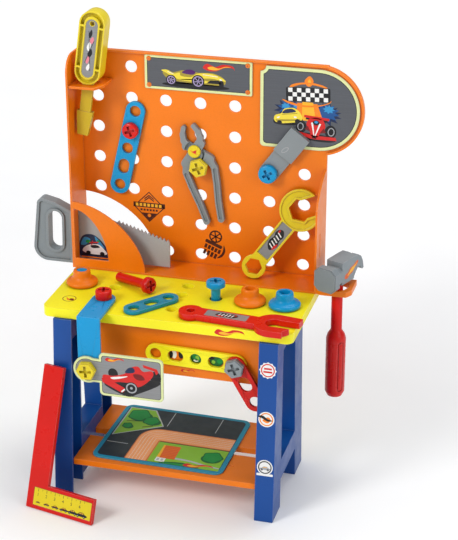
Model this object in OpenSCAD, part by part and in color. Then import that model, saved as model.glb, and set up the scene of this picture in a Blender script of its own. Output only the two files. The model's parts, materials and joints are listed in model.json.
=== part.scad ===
// Toy tool bench: a play workbench with a pegboard, hand tools, big bolts and building strips.
// Bench frame: x from the middle of the worktop, y = 0 on the front face of the tool board and
// positive to the back, z up from the floor. placed() moves it to the middle of its own footprint.

/* [Bench] */
// Width of the worktop
worktop_w = 400; // [390:1:420]
// Distance from the worktop's front edge to the tool board
worktop_d = 220; // [215:1:230]
// Height of the worktop's upper face
worktop_z = 313; // [305:1:320]
// Height of the worktop's skirt
skirt_h = 15.4; // [12:0.2:18]
// Width of each leg, seen from the front
leg_t = 30; // [26:1:34]
// Distance from the middle of the bench to a leg's outer face
leg_out = 180; // [176:1:186]
// Height of the shelf slats' upper face
shelf_z = 60.5; // [55:0.5:66]

/* [Tool board] */
// Height of the tool board's top edge
board_top = 669; // [660:1:680]
// Left edge of the tool board
board_left = -206; // [-210:1:-204]
// Right edge of the tool board
board_right = 201; // [199:1:205]
// Depth of the tray round the tool board
tray_d = 62.6; // [60:0.2:64]
// Thickness of the back plate
plate_t = 4; // [3:0.5:5]
// Distance between hole columns
hole_dx = 56.8; // [56:0.1:57.2]
// Distance between hole rows
hole_dz = 51.5; // [51:0.1:52]
// Radius of the peg holes
hole_r = 10; // [9:0.25:10.5]
// Radius of the round sign extension
sign_r = 72.5; // [70:0.5:74]

/* [Toy hardware] */
// Distance between the holes of a strip
strip_pitch = 32.4; // [31:0.1:33]
// Width of a strip
strip_w = 32; // [30:0.5:33]
// Thickness of a strip
strip_t = 6; // [5:0.25:6.5]
// Radius of a bolt's shank
shank_r = 7.4; // [7:0.1:7.6]
// Radius of a round bolt head
head_r = 13; // [12:0.5:14]
// Height of a bolt head
head_h = 9; // [8:0.5:10]
// Radius of the strips' round holes
eye_r = 9.2; // [8.8:0.1:9.4]

/* [Tools] */
// Lean of the screwdriver in its shelf, in degrees
driver_lean = 8; // [6:0.5:9]
// Turn of the hammer about its handle, in degrees
hammer_turn = 70; // [68:1:71]
// Tilt of the pliers on the board, in degrees
pliers_tilt = 15; // [12:1:18]

/* [Hidden] */

$fn = 48;
gap = 0.5;                       // clearance between pieces that move apart
wall = 3;                        // wall thickness of the moulded trays
hole_x0 = -175.5;                // first column of peg holes
hole_z0 = 333;                   // lowest row of peg holes
top_under = worktop_z - wall;    // underside of the worktop's plate
skirt_z = worktop_z - skirt_h;   // lower edge of the worktop's skirt
leg_in = leg_out - leg_t;
leg_top = skirt_z - 0.4;
worktop_back = 14;
worktop_col = 55.5;              // distance between the worktop's hole columns
worktop_col0 = -168.5;
rows_y = [-176, -121];           // the worktop's two rows of holes
screw_ys = [-200, -84];          // the screws that hold the worktop
sign_cx = 185.7;
sign_cz = board_top - 0.5 - sign_r;
arch_a = 124;                    // half axes of the saw opening's quarter ellipse
arch_b = 115;
saw_y = -34;
saw_left = -280;
hammer_x = 231.8;
hammer_y = -43;
hammer_z = worktop_z + 9.5;      // upper face of the hammer shelf
driver_x = -178;
driver_y = -34;
driver_z = 621;
square_turn = -13;
square_lean = 17.5;
tip_front = -332.2;               // foremost point, the end of the try square
nut_back = 13;                   // rearmost point, the bolts behind the board
claw_right = 264.24;             // rightmost point, the hammer's claw
claw_len = 55;
origin_x = (saw_left + claw_right) / 2;
origin_y = (tip_front + worktop_back) / 2;

// ---------- places and shared shapes ----------

module placed() { translate([-origin_x, -origin_y, 0]) children(); }

// Turns a drawing in x and z into a plate from y = back towards the front by t.
module upright(t, back = 0) {
    translate([0, back, 0]) rotate([90, 0, 0]) linear_extrude(t) children();
}

// Turns a drawing in y and z into a plate from x = left towards +x by t.
module sideways(t, left = 0) {
    translate([left, 0, 0]) rotate([90, 0, 90]) linear_extrude(t) children();
}

module capsule(p, q, r) {
    d = q - p;
    translate(p) circle(r);
    translate(q) circle(r);
    translate(p) rotate(atan2(d[1], d[0])) translate([0, -r]) square([norm(d), 2 * r]);
}

function arc(c, r, from, to, steps = 12) =
    [for (i = [0:steps]) c + r * [cos(from + (to - from) * i / steps), sin(from + (to - from) * i / steps)]];

// A capsule with many-sided ends, for outlines built from a chain of them.
module band(p, q, r) {
    a = atan2(q[1] - p[1], q[0] - p[0]);
    polygon(concat(arc(q, r, a - 90, a + 90), arc(p, r, a + 90, a + 270)));
}

module rounded_rect(x0, y0, x1, y1, r) {
    translate([x0 + r, y0]) square([x1 - x0 - 2 * r, y1 - y0]);
    translate([x0, y0 + r]) square([x1 - x0, y1 - y0 - 2 * r]);
    for (x = [x0 + r, x1 - r], y = [y0 + r, y1 - r]) translate([x, y]) circle(r);
}

// A quarter oval with its corner at the origin, a little flatter than an ellipse.
module quarter(a, b) {
    polygon(concat([[0, 0]], [for (i = [0:18]) [a * pow(sin(5 * i), 1.14), b * pow(cos(5 * i), 1.14)]]));
}

// A building strip with count holes; every second hole is a short slot.
module strip_2d(count) {
    difference() {
        capsule([0, 0], [(count - 1) * strip_pitch, 0], strip_w / 2);
        for (i = [0:count - 1]) translate([i * strip_pitch, 0]) {
            if (i % 2 == 1) capsule([-3.5, 0], [3.5, 0], eye_r);
            else circle(eye_r);
        }
    }
}

// Cross recess cut into a head whose upper face is at z = 0.
module cross_recess(reach, width, depth) {
    for (a = [0, 90]) rotate(a)
        translate([-reach, -width / 2, -depth]) cube([2 * reach, width, depth + 1]);
}

// Round toy bolt: head above z = 0, shank below it.
module round_bolt(shank, r = head_r) {
    difference() {
        union() {
            rotate_extrude() polygon([[0, 0], [r, 0], [r, head_h - 2.4],
                [r - 0.7, head_h - 0.7], [r - 2.4, head_h], [0, head_h]]);
            translate([0, 0, -shank]) cylinder(r = shank_r, h = shank + 0.5);
        }
        translate([0, 0, head_h]) cross_recess(8.8, 4.6, 4.6);
    }
}

// Hexagonal toy bolt: head above z = 0, shank below it.
module hex_bolt(shank) {
    difference() {
        union() {
            cylinder(r = 16, h = head_h - 2, $fn = 6);
            translate([0, 0, head_h - 2]) cylinder(r = 14.4, h = 2, $fn = 6);
            translate([0, 0, -shank]) cylinder(r = shank_r, h = shank + 0.5);
        }
        translate([0, 0, head_h]) cross_recess(9.6, 4.8, 4.6);
    }
}

// Flanged toy nut standing on z = 0.
module flanged_nut(flange_r = 25) {
    difference() {
        rotate_extrude() polygon([[0, 0], [flange_r - 1.5, 0], [flange_r, 2], [flange_r, 5],
            [flange_r - 1.5, 7], [17.5, 9.5], [14.5, 13], [13.5, 23], [12.5, 24.5], [0, 24.5]]);
        translate([0, 0, -1]) cylinder(r = 8.6, h = 30);
    }
}

// Points a piece modelled upright towards the front, at a place on the board.
module facing(x, y, z, turn = 0) { translate([x, y, z]) rotate([90, 0, 0]) rotate(turn) children(); }

function board_x(c) = hole_x0 + c * hole_dx;
function board_z(r) = hole_z0 + r * hole_dz;
strip_x = board_x(1);
strip_z = board_z(4);
grip_x = board_x(3);
grip_z = board_z(3);
step_x = board_x(5);
step_z = board_z(3);
plate_y = -2 - gap;              // back of the stepped plate, in front of the round sign
apron_x = 109.3;
apron_z = 245;
apron_y = -200;
bracket_x = worktop_col0 + worktop_col;
bracket_y = -worktop_d - 25;     // back of the bracket's upright leg
tag_x = bracket_x - 3;           // the small sign's bolt
tag_z = 231;

// ---------- bench ----------

// Side profile of a leg, drawn in y and z and pulled in by inset on each long side.
module front_leg_2d(inset) {
    polygon([[-249 + inset, 0], [-199 - inset, 0], [-188.5 - inset, leg_top],
        [-224.5 + inset, leg_top]]);
}

module rear_leg_2d(inset) {
    polygon([[-96 + inset, 0], [-48 - inset, 0], [-60 - inset, leg_top],
        [-112 + inset, leg_top]]);
}

// Right-hand side frame: two channel legs, a rail, a low web and a top rail.
module side_frame() {
    difference() {
        union() {
            sideways(leg_t, leg_in) {
                front_leg_2d(0);
                rear_leg_2d(0);
                translate([-215, 272]) square([140, leg_top - 272]);
                translate([-210, 50]) square([125, 34]);
            }
            sideways(wall, leg_in) translate([-203, 10]) square([110, 45]);
            translate([leg_in + 2, -212, leg_top - 1]) cube([leg_t - 8, 150, top_under - leg_top + 0.9]);
        }
        sideways(leg_t - wall - 4, leg_in - 4) intersection() {
            union() { front_leg_2d(4); rear_leg_2d(4); }
            translate([-260, -1]) square([220, 265]);
        }
        for (y = screw_ys) translate([leg_in + 14, y, 260]) cylinder(r = 2.1, h = 60);
    }
}

module left_side_frame() { color("royalblue") placed() mirror([1, 0, 0]) side_frame(); }
module right_side_frame() { color("royalblue") placed() side_frame(); }

// The worktop's holes; the front left corner has a printed emblem instead.
worktop_holes = concat([for (c = [0:6], y = rows_y) if (c > 0 || y == rows_y[1])
    [worktop_col0 + c * worktop_col, y]], [[worktop_col0 + 3 * worktop_col, -86]]);

// Holes clear of the legs are lined with a tube below the plate.
module worktop() {
    half = worktop_w / 2;
    color("yellow") placed() difference() {
        union() {
            difference() {
                translate([0, 0, skirt_z]) linear_extrude(skirt_h)
                    rounded_rect(-half, -worktop_d, half, worktop_back, 13);
                translate([0, 0, skirt_z - 1]) linear_extrude(skirt_h - wall + 1)
                    rounded_rect(-half + wall, -worktop_d + wall, half - wall, worktop_back - wall, 10);
            }
            for (p = worktop_holes) if (abs(p[0]) < leg_in - 15)
                translate([p[0], p[1], skirt_z + 1]) cylinder(r = hole_r + 2.2, h = skirt_h - 2);
        }
        for (p = worktop_holes) translate([p[0], p[1], skirt_z - 1]) cylinder(r = hole_r, h = 30);
        for (s = [-1, 1], y = screw_ys)
            translate([s * (leg_in + 14), y, top_under - 1]) cylinder(r = 1.6, h = 3);
    }
}

module worktop_screws() {
    color("silver") placed() for (s = [-1, 1], y = screw_ys)
        translate([s * (leg_in + 14), y, 260.2]) {
            cylinder(r = 4, h = 3.6);
            cylinder(r = 1.5, h = top_under + 1.5 - 260.2);
        }
}

module board_outline() {
    translate([board_left, worktop_z]) square([board_right - board_left, board_top - worktop_z - 0.5]);
    translate([sign_cx, sign_cz]) circle(sign_r);
    translate([150, sign_cz - sign_r]) square([sign_cx - 150, 2 * sign_r]);
}

// A peg hole is left out under the signs and in the saw opening.
function has_hole(c, r) = !(r < 2 && c < 2) && !(c >= 5 && r >= 4) && !(c >= 2 && r == 6);

module left_wall_2d() {
    difference() {
        translate([-tray_d, worktop_z]) square([tray_d + 1, board_top - 0.5 - worktop_z]);
        difference() {
            translate([-tray_d - 1, board_top - 29]) square([29, 30]);
            translate([-tray_d + 28, board_top - 28.5]) circle(28);
        }
        translate([saw_y - 3, worktop_z + 4]) square([6, 90]);
    }
}

module right_wall_2d() {
    difference() {
        union() {
            translate([-tray_d, worktop_z]) square([tray_d + 1, 140]);
            polygon([[1, worktop_z + 139], [-tray_d, worktop_z + 139], [-56, worktop_z + 152],
                [-42, worktop_z + 166], [-22, worktop_z + 179], [1, worktop_z + 188]]);
        }
        translate([-42, worktop_z + 52]) rounded_rect(0, 0, 5, 42, 2);
    }
}

module back_board() {
    color("darkorange") placed() {
        difference() {
            union() {
                upright(plate_t, plate_t) board_outline();
                upright(5.5, 0.5) difference() {
                    board_outline();
                    translate([board_left + 1, worktop_z])
                        square([board_right - board_left - 1, board_top - worktop_z - 3.5]);
                    translate([sign_cx, sign_cz]) circle(sign_r - wall);
                    translate([140, sign_cz - sign_r + wall])
                        square([sign_cx - 140, 2 * (sign_r - wall)]);
                }
            }
            for (c = [0:6], r = [0:6]) if (has_hole(c, r))
                translate([board_x(c), 10, board_z(r)]) rotate([90, 0, 0]) cylinder(r = hole_r, h = 20);
            upright(20, 10) translate([board_left + wall, worktop_z + 18]) quarter(arch_a - 6, arch_b - 21);
        }
        sideways(wall, board_left) left_wall_2d();
        sideways(wall, board_right - wall) right_wall_2d();
        translate([board_left, -tray_d, worktop_z + 0.02]) cube([board_right - board_left, tray_d + 1, wall]);
    }
}

module saw_pocket() {
    color("orange") placed() upright(wall, -tray_d + wall)
        translate([board_left + wall + 0.02, worktop_z + wall + 0.04]) difference() {
            quarter(arch_a - wall, arch_b - wall);
            translate([2, 14]) quarter(57, 86);
        }
}

module screwdriver_shelf() {
    color("darkorange") placed() translate([0, 0, driver_z - 4]) linear_extrude(4) difference() {
        polygon([[board_left + wall + 0.02, -60], [-160, -60], [-150, -42], [-150, -0.02],
            [board_left + wall + 0.02, -0.02]]);
        translate([driver_x, driver_y]) capsule([-7, 0], [7, 0], 10.5);
    }
}

module hammer_shelf() {
    x = board_right + 0.02;
    color("darkorange") placed() translate([0, 0, hammer_z - 9]) linear_extrude(9) difference() {
        polygon([[x, -tray_d], [x + 8, -66], [250, -66], [257, -54], [257, -12], [x, -12]]);
        translate([hammer_x, hammer_y]) rotate(hammer_turn) capsule([-3, 0], [3, 0], 16.8);
    }
}

module apron() {
    color("darkorange") placed() difference() {
        translate([-leg_in, apron_y, 212]) cube([2 * leg_in, wall, leg_top - 212]);
        translate([apron_x, 0, apron_z]) rotate([90, 0, 0]) cylinder(r = eye_r, h = 300);
    }
}

module slat(front, back) {
    difference() {
        translate([-leg_in + 0.02, front, shelf_z - 10]) cube([2 * leg_in - 0.04, back - front, 10]);
        translate([-leg_in + 3, front + wall, shelf_z - 11])
            cube([2 * leg_in - 6, back - front - 2 * wall, 8]);
    }
}

module front_slat() {
    color("darkorange") placed() difference() {
        slat(-240, -160);
        translate([0, 0, shelf_z - 4]) linear_extrude(6) translate([98, -196]) capsule([0, 0], [5, 0], 1.6);
    }
}

module rear_slat() { color("darkorange") placed() slat(-135, -50); }

module play_mat() {
    color("teal") placed() translate([-15, -139, shelf_z]) rotate(-1.2)
        linear_extrude(2.5) rounded_rect(-109, -90, 109, 90, 14);
}

module banner_sign() {
    color("gray") placed() upright(2.6, 0) difference() {
        rounded_rect(-95, 610, 80, 665, 2.5);
        for (x = [-88, 73], z = [616, 659]) translate([x, z]) circle(1.6);
    }
}

module banner_screws() {
    color("orangered") placed() for (x = [-88, 73], z = [616, 659]) facing(x, -2.6, z) {
        difference() {
            rotate_extrude() polygon([[0, 0], [4, 0], [3.2, 1.4], [0, 2]]);
            translate([0, 0, 2]) cross_recess(2.2, 0.8, 0.9);
        }
        translate([0, 0, -2.2]) cylinder(r = 1.5, h = 2.4);
    }
}

module round_sign_2d() {
    r = sign_r - 7;
    difference() {
        union() {
            translate([sign_cx, sign_cz]) circle(r);
            rounded_rect(93, sign_cz - r, sign_cx + 10, sign_cz + r, 6);
        }
        translate([93, sign_cz + r]) circle(9);
    }
}

module round_sign() { color("gray") placed() upright(2, 0) round_sign_2d(); }

// Nuts that hold the bolts, behind the board and behind the apron.
module bolt_nuts() {
    color("deepskyblue") placed() {
        for (p = [[strip_x, strip_z], [grip_x, grip_z], [step_x, step_z]])
            facing(p[0], plate_t + 7.5, p[1]) difference() {
                cylinder(r = 15, h = 7.45, $fn = 6);
                translate([0, 0, -1]) cylinder(r = shank_r + 0.3, h = 10);
            }
        facing(apron_x, apron_y + wall + 7.5, apron_z) difference() {
            cylinder(r = 15, h = 7.45, $fn = 6);
            translate([0, 0, -1]) cylinder(r = shank_r + 0.3, h = 10);
        }
    }
}

// ---------- tools that lift or pull out ----------

module driver_place() {
    translate([driver_x, driver_y, driver_z + gap + 0.4]) rotate([0, driver_lean, 0]) children();
}

module screwdriver_handle() {
    color("gold") placed() driver_place() difference() {
        upright(26, 13) capsule([0, 21], [0, 98], 21);
        for (s = [0, 1]) mirror([0, s, 0]) {
            upright(8, -6) difference() {
                capsule([0, 21], [0, 98], 18.8);
                capsule([0, 21], [0, 98], 12.4);
                for (z = [25, 92]) translate([-25, z]) square([50, 3]);
            }
            upright(2, -11.8) capsule([0, 21], [0, 96], 10.4);
        }
        upright(40, 20) translate([0, 99]) circle(3.8);
        translate([-9.05, -3.55, -1]) cube([18.1, 7.1, 17]);
    }
}

module screwdriver_shank() {
    color("gold") placed() driver_place() {
        translate([-9, -3.5, -48]) cube([18, 7, 63.6]);
        translate([0, 0, -47.98]) rotate([180, 0, 0]) upright(9, 4.5)
            polygon([[-13.3, 0], [13.3, 0], [12.6, 10], [8.8, 40], [-8.8, 40], [-12.6, 10]]);
    }
}

module hammer_place() { translate([hammer_x, hammer_y, hammer_z + gap]) rotate(hammer_turn) children(); }

// A square with its corners cut off, half wide in y and tall in z, as a plate from x = left.
module eight_sided(t, left, half, tall, cut) {
    sideways(t, left) polygon([[half, 22 - tall + cut], [half, 22 + tall - cut], [half - cut, 22 + tall],
        [cut - half, 22 + tall], [-half, 22 + tall - cut], [-half, 22 - tall + cut],
        [cut - half, 22 - tall], [half - cut, 22 - tall]]);
}

// Head along x: eight-sided striking face at -x, split claw at +x.
module hammer_head() {
    color("darkgray") placed() hammer_place() difference() {
        union() {
            eight_sided(1.6, -40, 18.5, 18.4, 7.4);
            eight_sided(12, -38.42, 20, 20, 8);
            eight_sided(20, -26.44, 15.5, 15, 6);
            translate([-10, -14.5, 7]) cube([36, 29, 38]);
            upright(29, 14.5) polygon([[25, 9], [25, 45], [37, 44.5], [46, 39], [52, 29], [claw_len, 16],
                [claw_len - 4, 15], [45, 22], [38, 23], [32, 18]]);
        }
        translate([claw_len - 20, -3, 0]) cube([24, 6, 50]);
        translate([0, 0, -1]) cylinder(r = 9.3, h = 26);
    }
}

module hammer_handle() {
    color("red") placed() hammer_place() difference() {
        rotate_extrude() polygon([[0, -193], [12.4, -193], [16, -185], [16, -91], [14, -84],
            [9, -76], [9, 24], [0, 24]]);
        for (a = [-28, 152]) rotate(a) upright(3, -14.2) difference() {
            capsule([0, -177], [0, -99], 5.8);
            capsule([0, -177], [0, -99], 3);
        }
    }
}

// The toothed edge runs from the tip up to the handle.
module saw_blade() {
    teeth = 14;
    tip = [-48, 361];
    crest = [-137, 388];
    along = (crest - tip) / teeth;
    color("lightgray") placed() upright(3.6, saw_y + 1.8) polygon(concat(
        [[-216, 319], [-48, 319]],
        [for (i = [0:teeth - 1], k = [0:1]) tip + along * (i + 0.5 * k) + [0, 5 * k]],
        [crest, [-178, 403], [-216, 403]]));
}

module saw_handle_2d() {
    polygon(concat([[-212, 312], [-212, 403], [-240, 416]], arc([-262, 411], 10, 70, 185),
        arc([saw_left + 24, 336], 24, 180, 270)));
}

// A shallow groove runs between the handle's rim and the rim of its grip.
module saw_handle() {
    color("gray") placed() difference() {
        upright(20, saw_y + 10) difference() {
            saw_handle_2d();
            band([-242, 344], [-241, 389], 12);
        }
        for (y = [saw_y + 10.1, saw_y - 7]) upright(3.1, y) difference() {
            offset(delta = -4.5) saw_handle_2d();
            band([-242, 344], [-241, 389], 16);
        }
        upright(4, saw_y + 2) translate([-216.4, 318]) square([6, 90]);
    }
}

// ---------- pliers ----------

module pliers_place() { translate([-12.4, -gap, 513.4]) rotate([0, -pliers_tilt, 0]) children(); }

// One half, drawn in x and z about the pivot: jaw on one side, handle on the other.
module pliers_half_2d() {
    band([0, 0], [0, -6], 11.5);
    band([0, 0], [-11, 10], 8);
    band([-11, 10], [-14, 20], 5);
    band([-14, 20], [-13, 31], 4.3);
    band([-13, 31], [-8.4, 40.5], 3.6);
    band([0, 0], [20, -18], 8);
    band([20, -18], [24.6, -33], 5.2);
    band([24.6, -33], [21.5, -58], 5.2);
    band([21.5, -58], [15.7, -90], 5.2);
    band([15.7, -90], [12.5, -120], 5.2);
}

// Shallow channel along the handle.
module pliers_channel_2d() {
    band([24.6, -36], [21.5, -58], 2.8);
    band([21.5, -58], [15.7, -90], 2.8);
    band([15.7, -90], [12.6, -117], 2.8);
}

// Where the halves cross, each is half as thick.
module half_lap_2d() {
    circle(17);
    translate([0, -6]) circle(14);
}

module rivet_hole() { translate([0, 1, 0]) rotate([90, 0, 0]) cylinder(r = 4.1, h = 20); }

// The halves lie behind each other at the pivot and side by side elsewhere.
module pliers_left() {
    color("darkgray") placed() pliers_place() difference() {
        upright(8, 0) pliers_half_2d();
        upright(6, -3.9) half_lap_2d();
        upright(3, -6) pliers_channel_2d();
        rivet_hole();
    }
}

module pliers_right() {
    color("darkgray") placed() pliers_place() difference() {
        upright(8, 0) mirror([1, 0]) pliers_half_2d();
        upright(6, 1.9) half_lap_2d();
        upright(3, -6) mirror([1, 0]) pliers_channel_2d();
        rivet_hole();
    }
}

module pliers_rivet() {
    color("gold") placed() pliers_place() rotate([90, 0, 0]) {
        translate([0, 0, 0.3]) cylinder(r = 4.05, h = 9);
        translate([0, 0, 8.4]) rotate_extrude() polygon([[0, 0], [10.5, 0], [10.5, 2.4], [9, 4], [0, 4]]);
    }
}

module pliers_bolt() { color("gold") placed() facing(grip_x, -9, grip_z, 20) hex_bolt(9 + nut_back); }

// ---------- strips and plates on the board ----------

module blue_strip() {
    color("deepskyblue") placed() facing(strip_x, -gap, strip_z, 90 - 13)
        translate([-3 * strip_pitch, 0, 0]) linear_extrude(strip_t) strip_2d(5);
}

module strip_bolt() {
    color("red") placed() facing(strip_x, -strip_t - 2 * gap, strip_z, 20)
        round_bolt(strip_t + 2 * gap + nut_back);
}

module stepped_plate() {
    color("darkgray") placed() facing(step_x, plate_y, step_z, 90 - 36.6) difference() {
        union() {
            linear_extrude(5) {
                circle(16);
                translate([0, -16]) square([40, 32]);
            }
            translate([38, -18, 0]) cube([48, 36, 9]);
        }
        translate([0, 0, -1]) cylinder(r = eye_r, h = 20);
    }
}

module plate_bolt() {
    color("deepskyblue") placed() facing(step_x, plate_y - 5 - gap, step_z, 30)
        round_bolt(5 + gap - plate_y + nut_back, head_r + 2);
}

// Ring end at the foot of the board, open jaw up and to the right.
wrench_lean = 11;
module combination_wrench() {
    reach = 121;
    color("gold") placed() translate([92.4, -35.5, worktop_z + wall + 0.9]) rotate([-wrench_lean, 0, 0])
        difference() {
            upright(8, 4) wrench_place() difference() {
                union() {
                    circle(19.5);
                    capsule([12, 0], [reach - 28, 0], 13.6);
                    translate([reach, 0]) circle(34);
                }
                circle(14.2, $fn = 6);
                translate([reach, 0]) rotate(-32) mouth_2d(19, 15, 50);
            }
            upright(3.1, -1.6) wrench_place() {
                translate([22.5, -10.8]) square([66, 21.6]);
                translate([reach, 0]) difference() {
                    circle(31);
                    rotate(-32) mouth_2d(22.5, 18.5, 50);
                }
            }
        }
}

module wrench_place() { translate([0, 19.5]) rotate(90 - 35.8) children(); }

// The open jaw's mouth: a hexagon and a straight way out of it.
module mouth_2d(r, half, length) {
    rotate(30) circle(r, $fn = 6);
    translate([0, -half]) square([length, 2 * half]);
}

// ---------- loose pieces on the worktop ----------

module on_worktop(x, y, turn = 0) { translate([x, y, worktop_z + gap]) rotate(turn) children(); }

module left_flanged_nut() { color("darkorange") placed() on_worktop(worktop_col0, rows_y[1]) flanged_nut(); }

module left_nut_bolt() {
    color("blue") placed() on_worktop(worktop_col0, rows_y[1]) {
        translate([0, 0, 2]) cylinder(r = 8.55, h = 21);
        translate([0, 0, -2.5]) cylinder(r = 8.2, h = 5);
    }
}

module middle_flanged_nut() {
    color("darkorange") placed() on_worktop(worktop_col0 + 5 * worktop_col, rows_y[1]) flanged_nut();
}

module right_flanged_nut() {
    color("deepskyblue") placed() on_worktop(worktop_col0 + 6 * worktop_col, rows_y[1]) flanged_nut();
}

// Flat leg on the worktop, upright leg in front of the skirt.
module angle_bracket() {
    r = 18.5;
    color("deepskyblue") placed() difference() {
        union() {
            translate([0, 0, worktop_z + gap]) linear_extrude(5) {
                translate([bracket_x - r, bracket_y - 5]) square([2 * r, rows_y[0] - bracket_y + 5]);
                translate([bracket_x, rows_y[0]]) circle(r);
            }
            translate([bracket_x - r, bracket_y - 5, tag_z])
                cube([2 * r, 5, worktop_z + gap + 5 - tag_z]);
            facing(bracket_x, bracket_y, tag_z) cylinder(r = r, h = 5);
        }
        translate([bracket_x, rows_y[0], worktop_z - 5]) cylinder(r = eye_r, h = 20);
        facing(tag_x, bracket_y + 5, tag_z) cylinder(r = eye_r, h = 20);
    }
}

module bracket_bolt() {
    color("red") placed() translate([bracket_x, rows_y[0], worktop_z + 2 * gap + 5]) {
        rotate(15) round_bolt(22);
        cylinder(r = head_r, h = 6);
        translate([0, 0, 5]) rotate(15) round_bolt(4);
    }
}

// A bolt on its side, resting on its head and the end of its shank.
module loose_bolt() {
    tip = asin((head_r - shank_r) / 62);
    color("red") placed() translate([-57, -129, worktop_z + gap + head_r + 0.8]) rotate([0, 0, -29])
        rotate([0, 90 - tip, 0]) round_bolt(66);
}

module teal_link() {
    color("darkcyan") placed() on_worktop(-56, -199, 52) linear_extrude(strip_t) strip_2d(3);
}

module standing_bolt() {
    color("dodgerblue") placed() translate([worktop_col0 + 4 * worktop_col, rows_y[1], worktop_z + 22])
        rotate(20) round_bolt(34, head_r + 2);
}

module open_end_wrench() {
    color("red") placed() on_worktop(34, -193, -5) linear_extrude(10) difference() {
        union() {
            circle(19);
            capsule([10, 0], [110, 0], 13.5);
            translate([134, 0]) circle(31);
            translate([134, 2]) rotate(-4) square([36, 29]);
            translate([134, -31]) rotate(4) square([22, 29]);
        }
        circle(7.5, $fn = 6);
        translate([134, 0]) circle(13);
        translate([134, -12]) square([60, 24]);
    }
}

// ---------- signs and strips in front ----------

module small_sign() {
    color("gray") placed() facing(tag_x, bracket_y - 5 - gap, tag_z) linear_extrude(3) difference() {
        union() {
            circle(22.4);
            translate([0, -20]) square([30, 40]);
            translate([20, -41]) rounded_rect(0, 0, 103, 72, 7);
        }
        circle(eye_r);
    }
}

module sign_bolt() {
    color("gold") placed() facing(tag_x, bracket_y - 5 - 2 * gap - 3, tag_z, 5) hex_bolt(17.5);
}

module sign_nut() {
    color("deepskyblue") placed() facing(tag_x, bracket_y + 7.25, tag_z) difference() {
        cylinder(r = 13, h = 7.2, $fn = 6);
        translate([0, 0, -1]) cylinder(r = shank_r + 0.3, h = 10);
    }
}

module yellow_strip() {
    color("yellow") placed() facing(apron_x, apron_y - gap, apron_z, -1.5)
        translate([-4 * strip_pitch, 0, 0]) linear_extrude(strip_t) strip_2d(5);
}

module red_link() {
    color("red") placed() facing(apron_x, apron_y - 2 * gap - strip_t, apron_z, -60)
        linear_extrude(strip_t) strip_2d(3);
}

module apron_bolt() {
    color("silver") placed() facing(apron_x, apron_y - 3 * gap - 2 * strip_t, apron_z, 20)
        hex_bolt(2 * strip_t + 3 * gap + 9);
}

// ---------- try square ----------

module square_place() {
    translate([-208, -301, 0.25]) rotate(square_turn) rotate([-square_lean, 0, 0]) children();
}

module try_square() {
    color("red") placed() difference() {
        square_place() difference() {
            upright(8, 4) {
                square([36, 232]);
                square([122, 41]);
            }
            upright(4, -2.5) translate([12, 6]) square([107, 29]);
        }
        translate([-300, -400, -20]) cube([400, 400, 20.1]);
    }
}

module square_scale() {
    color("gold") placed() square_place() upright(1.6, -2.6) translate([12.3, 6.3]) square([106.4, 28.4]);
}

// ---------- drawing ----------

left_side_frame();
right_side_frame();
worktop();
back_board();
saw_pocket();
screwdriver_shelf();
hammer_shelf();
apron();
front_slat();
rear_slat();
play_mat();
banner_sign();
round_sign();
banner_screws();
worktop_screws();
bolt_nuts();
screwdriver_handle();
screwdriver_shank();
hammer_head();
hammer_handle();
saw_blade();
saw_handle();
pliers_left();
pliers_right();
pliers_rivet();
pliers_bolt();
blue_strip();
strip_bolt();
stepped_plate();
plate_bolt();
combination_wrench();
left_flanged_nut();
left_nut_bolt();
angle_bracket();
bracket_bolt();
loose_bolt();
teal_link();
standing_bolt();
middle_flanged_nut();
right_flanged_nut();
open_end_wrench();
small_sign();
sign_bolt();
sign_nut();
yellow_strip();
red_link();
apron_bolt();
try_square();
square_scale();
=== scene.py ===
import json
import math

import bmesh
import bpy
from mathutils import Matrix, Vector
from mathutils.geometry import tessellate_polygon

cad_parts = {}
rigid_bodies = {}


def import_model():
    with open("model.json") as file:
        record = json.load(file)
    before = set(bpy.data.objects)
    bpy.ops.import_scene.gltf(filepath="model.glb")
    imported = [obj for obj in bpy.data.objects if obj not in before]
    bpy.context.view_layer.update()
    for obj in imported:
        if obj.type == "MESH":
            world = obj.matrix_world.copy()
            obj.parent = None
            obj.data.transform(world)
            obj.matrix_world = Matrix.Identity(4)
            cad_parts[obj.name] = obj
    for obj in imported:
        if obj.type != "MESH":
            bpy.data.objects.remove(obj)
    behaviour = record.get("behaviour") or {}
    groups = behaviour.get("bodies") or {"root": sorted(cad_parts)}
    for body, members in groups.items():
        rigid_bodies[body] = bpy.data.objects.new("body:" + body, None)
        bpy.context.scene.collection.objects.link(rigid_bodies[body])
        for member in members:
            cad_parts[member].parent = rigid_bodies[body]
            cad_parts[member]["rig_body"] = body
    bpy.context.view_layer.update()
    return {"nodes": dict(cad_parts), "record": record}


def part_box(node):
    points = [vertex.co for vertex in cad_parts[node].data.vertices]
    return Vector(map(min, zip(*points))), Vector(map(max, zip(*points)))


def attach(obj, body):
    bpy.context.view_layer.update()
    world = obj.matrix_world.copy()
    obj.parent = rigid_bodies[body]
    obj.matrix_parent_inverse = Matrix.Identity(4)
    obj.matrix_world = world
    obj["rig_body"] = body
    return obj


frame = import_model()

MM = 0.001
INK = 0.03 * MM               # thickness of one printed layer
GAP = 0.02 * MM               # air between a face and its first printed layer
ROUNDING = 0.55 * MM          # how far the plastic's sharp edges are rounded
WELD = 0.002 * MM             # corners nearer than this are joined before rounding
SHADE_REACH = 7 * MM               # how near two surfaces are where painted shade darkens the colour
SCUFF_AND_HIGHLIGHT = 1.1 * MM              # width of the scuffing and painted edge highlight along an edge

SENSOR, LENS = 36, 108.99     # mm
CAMERA_PLACE = (0.6949, -2.2078, 1.3817)
CAMERA_DOWN = 23.6011         # degrees below level
CAMERA_TURN = 15.2436         # degrees to the left of straight back
FLOOR_HALF = 12               # metres
BENCH_MIDDLE = (0, 0, 0.35)

nodes = frame["nodes"]


# ---------- camera, light and floor ----------

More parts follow.
